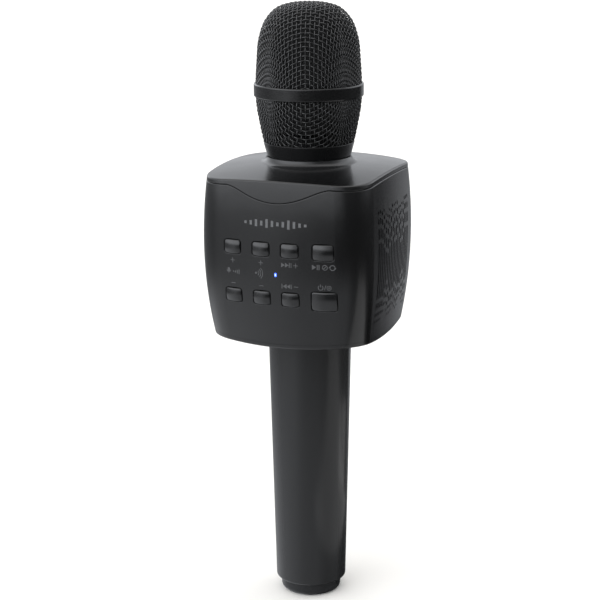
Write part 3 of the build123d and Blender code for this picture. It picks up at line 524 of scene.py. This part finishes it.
# Half outlines, (radius, height) in millimetres, from the apex outwards; both run on behind the band.
UPPER_OUTLINE = ((0, 287.3), (9.0, 286.7), (14.6, 284.8), (19.8, 279.6), (23.0, 271.4), (24.2, 260.3), (24.75, 250.3),
                 (24.8, 247.3))
LOWER_OUTLINE = ((0, 212.0), (10.0, 213.3), (17.2, 217.3), (21.2, 223.2), (22.1, 226.9), (23.2, 232.5), (24.2, 238.1),
                 (24.75, 244.2), (24.8, 247.2))
FOAM_OUTLINE = (*UPPER_OUTLINE[:-1], *reversed(LOWER_OUTLINE[5:-1]), (22.4, 228.6))


def smooth_outline(points, count=500):
    """Evenly spaced points of a curve through (radius, height) points, apex first, in metres."""
    points = np.array(points) * MM
    mirrored = np.vstack([(-points[3:0:-1, 0], points[3:0:-1, 1])]).T
    along = np.vstack([mirrored, points])
    steps = np.r_[0, np.cumsum(np.hypot(*np.diff(along, axis=0).T))]
    tangent = np.gradient(along, steps, axis=0)
    fine = np.linspace(steps[3], steps[-1], count)
    index = np.clip(np.searchsorted(steps, fine, side="right") - 1, 0, len(steps) - 2)
    span = (steps[index + 1] - steps[index])[:, None]
    t = (fine - steps[index])[:, None] / span
    a, b, ta, tb = along[index], along[index + 1], tangent[index], tangent[index + 1]
    curve = ((2 * t**3 - 3 * t**2 + 1) * a + (t**3 - 2 * t**2 + t) * span * ta
             + (-2 * t**3 + 3 * t**2) * b + (t**3 - t**2) * span * tb)
    curve[0, 0] = 0.0
    return curve


class Bowl:
    """A surface of revolution, and a square cloth drawn down over it."""

    def __init__(self, outline):
        self.outline = outline
        self.steps = np.r_[0, np.cumsum(np.hypot(*np.diff(outline, axis=0).T))]
        along = np.gradient(outline, self.steps, axis=0)
        self.outward = np.stack([along[:, 1], -along[:, 0]], 1)
        self.outward *= np.sign(self.outward[-1, 0])

    def look_up(self, column, distance):
        """A column of (radius, height) numbers at distances from the apex."""
        return np.interp(distance, self.steps, column)

    def crowding(self, distance):
        """How much shorter a ring of the bowl is than the flat cloth's ring at a distance."""
        radius = np.maximum(self.look_up(self.outline[:, 0], distance), 1e-6)
        return np.clip(distance / radius, 1.0, None)

    def drape(self, u, v):
        """Places and outward normals on the bowl for places (u, v) in the cloth, in metres.

        Wires stay square to each other along the cloth's own directions. Between those the
        cells shear: they grow narrow round the bowl and reach further down it."""
        flat = np.hypot(u, v)
        power = 1.0 + self.crowding(flat) ** -1.5
        distance = (np.abs(u) ** power + np.abs(v) ** power) ** (1 / power)
        offset = np.arctan2(np.abs(v), np.abs(u)) * 4 / math.pi - 1.0
        bend = (self.crowding(distance) - DIAGONAL_SHARE) / (1 - DIAGONAL_SHARE)
        moved = (1 - DIAGONAL_SHARE) * np.abs(offset) ** bend + DIAGONAL_SHARE * np.abs(offset)
        turn = (1 + np.sign(offset) * moved) * math.pi / 4
        turn = np.where(u < 0, math.pi - turn, turn)
        turn = np.where(v < 0, -turn, turn) + WEAVE_BEARING - math.pi / 2
        radius = self.look_up(self.outline[:, 0], distance)
        height = self.look_up(self.outline[:, 1], distance)
        out = self.look_up(self.outward[:, 0], distance)
        up = self.look_up(self.outward[:, 1], distance)
        place = np.stack([radius * np.cos(turn), radius * np.sin(turn), height], -1)
        return place, np.stack([out * np.cos(turn), out * np.sin(turn), up], -1)


def wire_path(bowl, line, crosswise, keep):
    """Runs of points along one wire, over and under at its crossings, within keep heights."""
    reach = int(bowl.steps[-1] / PITCH) + 1
    span = np.arange(-reach * STEPS, reach * STEPS + 1) / STEPS
    across = np.full(len(span), float(line))
    u, v = (span, across) if crosswise else (across, span)
    points, normal = bowl.drape(u * PITCH, v * PITCH)
    side = (1 if line % 2 == 0 else -1) * (-1 if crosswise else 1)
    points = points + normal * (WEAVE * side * np.cos(math.pi * span))[:, None]
    inside = (points[:, 2] > keep[0]) & (points[:, 2] < keep[1])
    edges = np.flatnonzero(np.diff(np.r_[0, inside.astype(int), 0]))
    return [(points[a:b], normal[a:b]) for a, b in edges.reshape(-1, 2) if b - a > 2]


def wire_mesh(name, runs):
    """Closed six-sided tubes along runs of points."""
    corners, faces, base = [], [], 0
    angles = np.linspace(0, 2 * math.pi, SIDES, endpoint=False)
    for points, normal in runs:
        along = np.gradient(points, axis=0)
        along /= np.linalg.norm(along, axis=1)[:, None]
        across = np.cross(along, normal)
        across /= np.linalg.norm(across, axis=1)[:, None]
        up = np.cross(across, along)
        ring = (across[:, None, :] * np.cos(angles)[None, :, None]
                + up[:, None, :] * np.sin(angles)[None, :, None]) * WIRE_RADIUS + points[:, None, :]
        corners.append(ring.reshape(-1, 3))
        for row in range(len(points) - 1):
            a = base + row * SIDES
            for k in range(SIDES):
                n = (k + 1) % SIDES
                faces.append((a + k, a + n, a + SIDES + n, a + SIDES + k))
        faces.append(tuple(base + k for k in reversed(range(SIDES))))
        last = base + (len(points) - 1) * SIDES
        faces.append(tuple(last + k for k in range(SIDES)))
        base += len(points) * SIDES
    mesh = bpy.data.meshes.new(name)
    mesh.from_pydata(np.concatenate(corners).tolist(), [], faces)
    mesh.shade_smooth()
    made = bpy.data.objects.new(name, mesh)
    bpy.context.scene.collection.objects.link(made)
    return made


def weave(name, node, outline, keep, look):
    """Warp and weft of one half of the grille, in place of its CAD shell."""
    bowl = Bowl(smooth_outline(outline))
    count = int(bowl.steps[-1] / PITCH)
    for suffix, crosswise in (("warp", False), ("weft", True)):
        runs = [run for line in range(-count, count + 1) for run in wire_path(bowl, line, crosswise, keep)]
        piece = wire_mesh(f"{name}_{suffix}", runs)
        piece.data.materials.append(look)
        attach(piece, "grille_head")
        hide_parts(node)


def inward(points, depth):
    """Move (radius, height) points in, square to their line."""
    points = np.array(points)
    along = np.gradient(points, axis=0)
    along /= np.linalg.norm(along, axis=1)[:, None]
    out = np.stack([along[:, 1], -along[:, 0]], 1)
    out *= np.sign(out[-1, 0])
    moved = points - out * depth
    moved[0, 0] = 0.0 if points[0, 0] == 0 else moved[0, 0]
    return moved


def make_grille(look):
    """The two halves of the woven head, running a little way in behind the band and the collar."""
    upper = inward(UPPER_OUTLINE, MID_WIRE)
    lower = inward(LOWER_OUTLINE, MID_WIRE)
    weave("upper_mesh", "upper_grille", upper, (WAIST - 0.6 * MM, HEAD_TOP), look)
    weave("lower_mesh", "lower_grille", lower, (COLLAR_LINE - 0.4 * MM, WAIST_FOOT + 0.6 * MM), look)


# ------------------------------------------------------------------ foam windscreen

FOAM_GRAIN = 0.25 * MM
FOAM_OUTSIDE = 1.35  # depth of its faces under the outline, in millimetres
FOAM_INSIDE = 4.0
FOAM_ROWS = 90
FOAM_COLUMNS = 180


def resample(points, count):
    """Evenly spaced points along a line of points."""
    steps = np.r_[0, np.cumsum(np.hypot(*np.diff(points, axis=0).T))]
    at = np.linspace(0, steps[-1], count)
    return np.stack([np.interp(at, steps, points[:, k]) for k in range(2)], 1)


def make_foam(look):
    """Open foam behind the mesh, its surface pitted."""
    rng = np.random.default_rng(SEED)
    angle = np.linspace(0, 2 * math.pi, FOAM_COLUMNS, endpoint=False)
    outside = resample(inward(FOAM_OUTLINE, FOAM_OUTSIDE) * MM, FOAM_ROWS)
    inside = resample(inward(FOAM_OUTLINE, FOAM_INSIDE) * MM, FOAM_ROWS // 3)
    curve = np.concatenate([outside[1:], inside[:0:-1]])
    radius = np.repeat(curve[:, :1], FOAM_COLUMNS, 1)
    radius[: FOAM_ROWS - 2] -= rng.random((FOAM_ROWS - 2, FOAM_COLUMNS)) * FOAM_GRAIN
    height = np.repeat(curve[:, 1:], FOAM_COLUMNS, 1)
    ring = np.stack([radius * np.cos(angle), radius * np.sin(angle), height], 2).reshape(-1, 3)
    corners = [*ring.tolist(), (0, 0, outside[0, 1]), (0, 0, inside[0, 1])]
    faces = []
    last = (len(curve) - 1) * FOAM_COLUMNS
    for k in range(FOAM_COLUMNS):
        n = (k + 1) % FOAM_COLUMNS
        faces.append((len(ring), k, n))
        faces.append((len(ring) + 1, last + n, last + k))
        for row in range(0, last, FOAM_COLUMNS):
            faces.append((row + k, row + FOAM_COLUMNS + k, row + FOAM_COLUMNS + n, row + n))
    mesh = bpy.data.meshes.new("foam_windscreen")
    mesh.from_pydata(corners, [], faces)
    mesh.shade_smooth()
    piece = bpy.data.objects.new("foam_windscreen", mesh)
    bpy.context.scene.collection.objects.link(piece)
    piece.data.materials.append(look)
    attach(piece, "grille_head")
    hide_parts("windscreen_foam")


# ------------------------------------------------------------------ printed marks

INK = 0.04 * MM  # how proud of the wall the print stands


class Print:
    """Flat shapes on the front of the housing, drawn in x and z in millimetres."""

    def __init__(self):
        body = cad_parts["housing"]
        self.wall = BVHTree.FromObject(body, bpy.context.evaluated_depsgraph_get())
        self.corners = []
        self.faces = []

    def wall_point(self, x, z):
        """How far along y the housing's front is at (x, z)."""
        hit = self.wall.ray_cast(Vector((x * MM, -0.2, z * MM)), Vector((0, 1, 0)))[0]
        return hit.y if hit else -0.045

    def polygon(self, outline):
        """A filled convex outline of (x, z) points, a film's thickness proud of the wall."""
        base = len(self.corners)
        count = len(outline)
        for proud in (INK, -INK / 2):
            for x, z in outline:
                self.corners.append((x * MM, self.wall_point(x, z) - proud, z * MM))
        self.faces.append(tuple(base + k for k in range(count)))
        self.faces.append(tuple(base + count + k for k in reversed(range(count))))
        for k in range(count):
            n = (k + 1) % count
            self.faces.append((base + n, base + k, base + count + k, base + count + n))

    def bar(self, x, z, width, height):
        """An upright rectangle about its middle."""
        w, h = width / 2, height / 2
        self.polygon([(x - w, z - h), (x + w, z - h), (x + w, z + h), (x - w, z + h)])

    def stroke(self, start, end, width):
        """A straight line between two points."""
        a, b = Vector(start), Vector(end)
        side = (b - a).normalized().orthogonal() * width / 2
        self.polygon([tuple(a - side), tuple(b - side), tuple(b + side), tuple(a + side)])

    def arrow(self, x, z, size, way):
        """A triangle pointing left (-1) or right (1)."""
        h = size / 2
        corners = [(x - way * h * 0.8, z - h), (x + way * h * 0.8, z), (x - way * h * 0.8, z + h)]
        self.polygon(corners if way > 0 else corners[::-1])

    def arc(self, x, z, radius, width, start=0.0, end=360.0):
        """Part of a ring, from one angle to another, counted from +x towards +z."""
        count = max(3, int((end - start) / 20))
        angles = [math.radians(start + (end - start) * k / count) for k in range(count + 1)]
        for a, b in zip(angles, angles[1:]):
            near, far = radius - width / 2, radius + width / 2
            self.polygon([(x + near * math.cos(a), z + near * math.sin(a)),
                          (x + far * math.cos(a), z + far * math.sin(a)),
                          (x + far * math.cos(b), z + far * math.sin(b)),
                          (x + near * math.cos(b), z + near * math.sin(b))])

    def disc(self, x, z, radius):
        """A filled circle."""
        self.polygon([(x + radius * math.cos(k * math.pi / 8), z + radius * math.sin(k * math.pi / 8))
                      for k in range(16)])

    def plus(self, x, z, size, width):
        self.bar(x, z, size, width)
        self.bar(x, z, width, size)

    def make(self, name, look):
        """Join what has been drawn into one piece."""
        mesh = bpy.data.meshes.new(name)
        mesh.from_pydata(self.corners, [], self.faces)
        piece = bpy.data.objects.new(name, mesh)
        bpy.context.scene.collection.objects.link(piece)
        piece.data.materials.append(look)
        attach(piece, "handset")
        self.corners, self.faces = [], []
        return piece


def key_centre(name):
    """The middle of a key, (x, z) in millimetres."""
    low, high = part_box(name)
    return (low.x + high.x) / 2 / MM, (low.z + high.z) / 2 / MM


def printed_ink(name, low, high):
    """Grey ink pad-printed on the shell, a little patchy."""
    look = Look(name, (low + high) / 2, 0.5)
    look.colour(look.noise(0.3 * MM, 3), low, high)
    look.bump(look.noise(0.2 * MM, 2), 0.003 * MM)
    return look


def make_marks():
    """Symbols beside the keys and a plain sound-level emblem above them."""
    ink = printed_ink("legend_ink", 0.045, 0.07)
    pale_ink = printed_ink("emblem_ink", 0.07, 0.11)
    marks = Print()
    line = 0.3
    for key in ("mic_volume_up_button", "echo_up_button"):
        x, z = key_centre(key)
        marks.plus(x, z - 6.3, 2.2, line)
    for key in ("mic_volume_down_button", "echo_down_button"):
        x, z = key_centre(key)
        marks.bar(x, z + 5.6, 2.2, line)
    marks.make("volume_and_echo_signs", ink.made)

    x, z = key_centre("next_button")
    z -= 6.5
    marks.arrow(x - 3.0, z, 2.2, 1)
    marks.arrow(x - 1.2, z, 2.2, 1)
    marks.bar(x - 0.05, z, 0.4, 2.2)
    marks.bar(x + 0.8, z, 0.3, 2.2)
    marks.plus(x + 2.9, z, 2.1, line)
    x, z = key_centre("previous_button")
    z += 6.3
    marks.bar(x - 3.7, z, 0.4, 2.2)
    marks.arrow(x - 2.4, z, 2.2, -1)
    marks.arrow(x - 0.6, z, 2.2, -1)
    marks.bar(x + 0.8, z, 0.3, 2.2)
    marks.bar(x + 2.9, z, 2.1, line)
    marks.make("track_signs", ink.made)

    x, z = key_centre("play_button")
    z -= 6.7
    marks.arrow(x - 4.0, z, 2.4, 1)
    marks.bar(x - 2.55, z, 0.4, 2.4)
    marks.bar(x - 1.75, z, 0.4, 2.4)
    marks.arc(x + 0.9, z, 1.1, 0.32)
    marks.stroke((x + 0.15, z - 0.75), (x + 1.65, z + 0.75), 0.32)
    marks.arc(x + 4.3, z, 1.15, 0.38, 20, 160)
    marks.arc(x + 4.3, z, 1.15, 0.38, 200, 340)
    marks.polygon([(x + 5.0, z + 0.1), (x + 6.0, z + 0.1), (x + 5.5, z - 0.7)])
    marks.polygon([(x + 2.6, z - 0.1), (x + 3.6, z - 0.1), (x + 3.1, z + 0.7)][::-1])
    marks.make("play_signs", ink.made)

    x, z = key_centre("power_button")
    z += 6.6
    marks.arc(x - 1.4, z, 1.1, 0.34, 125, 415)
    marks.bar(x - 1.4, z + 0.85, 0.34, 1.3)
    marks.stroke((x + 0.3, z - 1.0), (x + 1.0, z + 1.2), 0.28)
    marks.arc(x + 2.4, z, 0.95, 0.3)
    marks.disc(x + 2.4, z, 0.35)
    marks.make("power_signs", ink.made)

    x, z = key_centre("mic_volume_up_button")
    z -= 11.4
    marks.bar(x - 2.2, z + 0.45, 1.1, 1.7)
    marks.arc(x - 2.2, z + 0.35, 1.0, 0.28, 180, 360)
    marks.bar(x - 2.2, z - 1.0, 0.28, 0.7)
    for step in range(4):
        marks.bar(x + 0.3 + step * 0.95, z - 0.2, 0.45, 0.7 + step * 0.5)
    marks.make("microphone_level_sign", ink.made)
    x, z = key_centre("echo_up_button")
    z -= 11.2
    marks.disc(x - 2.4, z, 0.5)
    for ring in range(3):
        marks.arc(x - 2.4, z, 1.4 + ring * 0.95, 0.32, -48, 48)
    marks.make("echo_sign", ink.made)

    levels = (1.2, 2.0, 3.1, 2.2, 3.9, 2.8, 1.7, 2.5, 4.1, 3.0, 1.9, 1.2)
    _, z = key_centre("echo_up_button")
    z += 11.9
    for place, level in enumerate(levels):
        marks.bar(-14.2 + place * 2.6, z, 1.15, level)
    marks.make("sound_level_emblem", pale_ink.made)


# ------------------------------------------------------------------ the scene


def main():
    """Stage, looks and added pieces, in that order."""
    bpy.context.scene.view_settings.view_transform = "Standard"
    make_camera()
    make_floor()
    make_backdrop()
    make_room()
    make_cards()
    looks = dress_nodes()
    make_grille(looks["mesh_steel"])
    make_foam(looks["foam"])
    make_marks()


main()
